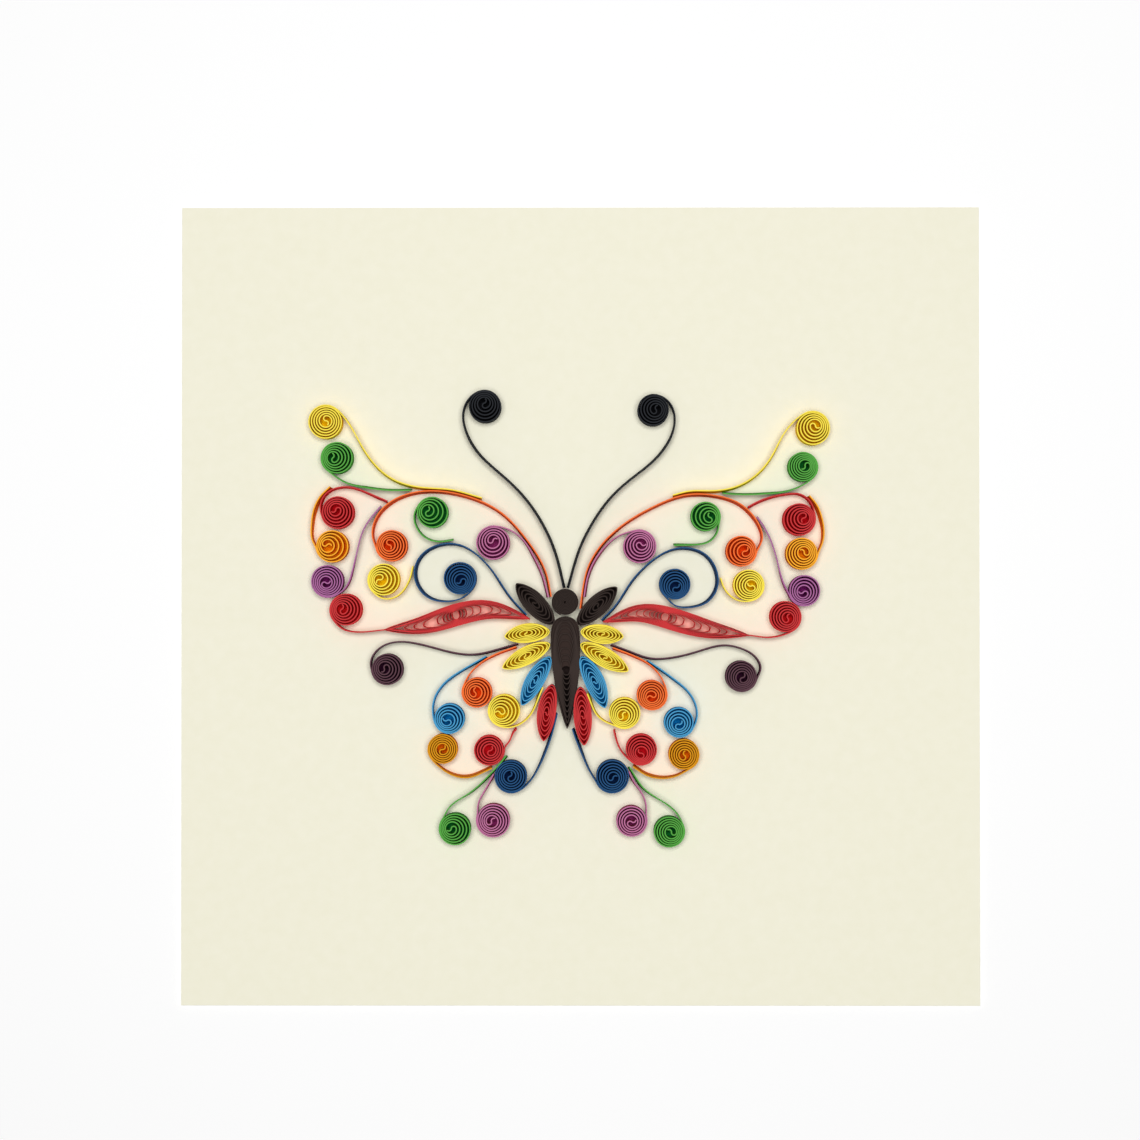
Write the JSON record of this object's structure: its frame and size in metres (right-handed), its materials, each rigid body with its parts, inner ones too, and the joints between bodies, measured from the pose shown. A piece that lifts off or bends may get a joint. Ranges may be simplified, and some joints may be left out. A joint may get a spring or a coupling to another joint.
{
  "type": "quilled paper butterfly card",
  "caption": "Butterfly of coloured paper strips rolled into scrolls, petals and leaves, standing on edge on a square cream card.",
  "frame": {"origin": "centre of the card's back face", "axes": "+Z out of the picture face, +Y towards the butterfly's head, +X to the viewer's right"},
  "size_m": [0.15, 0.15, 0.0036],
  "materials": {
    "card_stock": "smooth matt cream card",
    "yellow_paper": "matt coloured paper",
    "green_paper": "matt coloured paper",
    "red_paper": "matt coloured paper",
    "amber_paper": "matt coloured paper",
    "purple_paper": "matt coloured paper",
    "orange_paper": "matt coloured paper",
    "dark_blue_paper": "matt coloured paper",
    "light_blue_paper": "matt coloured paper",
    "plum_paper": "matt coloured paper",
    "ochre_paper": "matt coloured paper",
    "pink_paper": "matt coloured paper",
    "dark_brown_paper": "matt coloured paper",
    "black_paper": "matt coloured paper"
  },
  "bodies": {
    "root": {"card": "card_stock", "head": "dark_brown_paper", "body": "dark_brown_paper", "left_antenna": "black_paper", "left_yellow_tip_scroll": "yellow_paper", "left_green_tip_scroll": "green_paper", "left_red_outer_scroll": "red_paper", "left_amber_outer_scroll": "amber_paper", "left_purple_outer_scroll": "purple_paper", "left_orange_wing_scroll": "orange_paper", "left_green_inner_scroll": "green_paper", "left_pink_inner_scroll": "pink_paper", "left_yellow_inner_scroll": "yellow_paper", "left_blue_loop_scroll": "dark_blue_paper", "left_red_leaf": "red_paper", "left_plum_scroll": "plum_paper", "left_orange_lower_scroll": "orange_paper", "left_light_blue_scroll": "light_blue_paper", "left_yellow_lower_scroll": "yellow_paper", "left_ochre_scroll": "ochre_paper", "left_red_lower_scroll": "red_paper", "left_dark_blue_scroll": "dark_blue_paper", "left_green_lower_scroll": "green_paper", "left_pink_lower_scroll": "pink_paper", "left_dark_petal": "dark_brown_paper", "left_upper_yellow_petal": "yellow_paper", "left_lower_yellow_petal": "yellow_paper", "left_blue_petal": "light_blue_paper", "left_red_petal": "red_paper", "right_antenna": "black_paper", "right_yellow_tip_scroll": "yellow_paper", "right_green_tip_scroll": "green_paper", "right_red_outer_scroll": "red_paper", "right_amber_outer_scroll": "amber_paper", "right_purple_outer_scroll": "purple_paper", "right_orange_wing_scroll": "orange_paper", "right_green_inner_scroll": "green_paper", "right_pink_inner_scroll": "pink_paper", "right_yellow_inner_scroll": "yellow_paper", "right_blue_loop_scroll": "dark_blue_paper", "right_red_leaf": "red_paper", "right_plum_scroll": "plum_paper", "right_orange_lower_scroll": "orange_paper", "right_light_blue_scroll": "light_blue_paper", "right_yellow_lower_scroll": "yellow_paper", "right_ochre_scroll": "ochre_paper", "right_red_lower_scroll": "red_paper", "right_dark_blue_scroll": "dark_blue_paper", "right_green_lower_scroll": "green_paper", "right_pink_lower_scroll": "pink_paper", "right_dark_petal": "dark_brown_paper", "right_upper_yellow_petal": "yellow_paper", "right_lower_yellow_petal": "yellow_paper", "right_blue_petal": "light_blue_paper", "right_red_petal": "red_paper"}
  },
  "joints": []
}
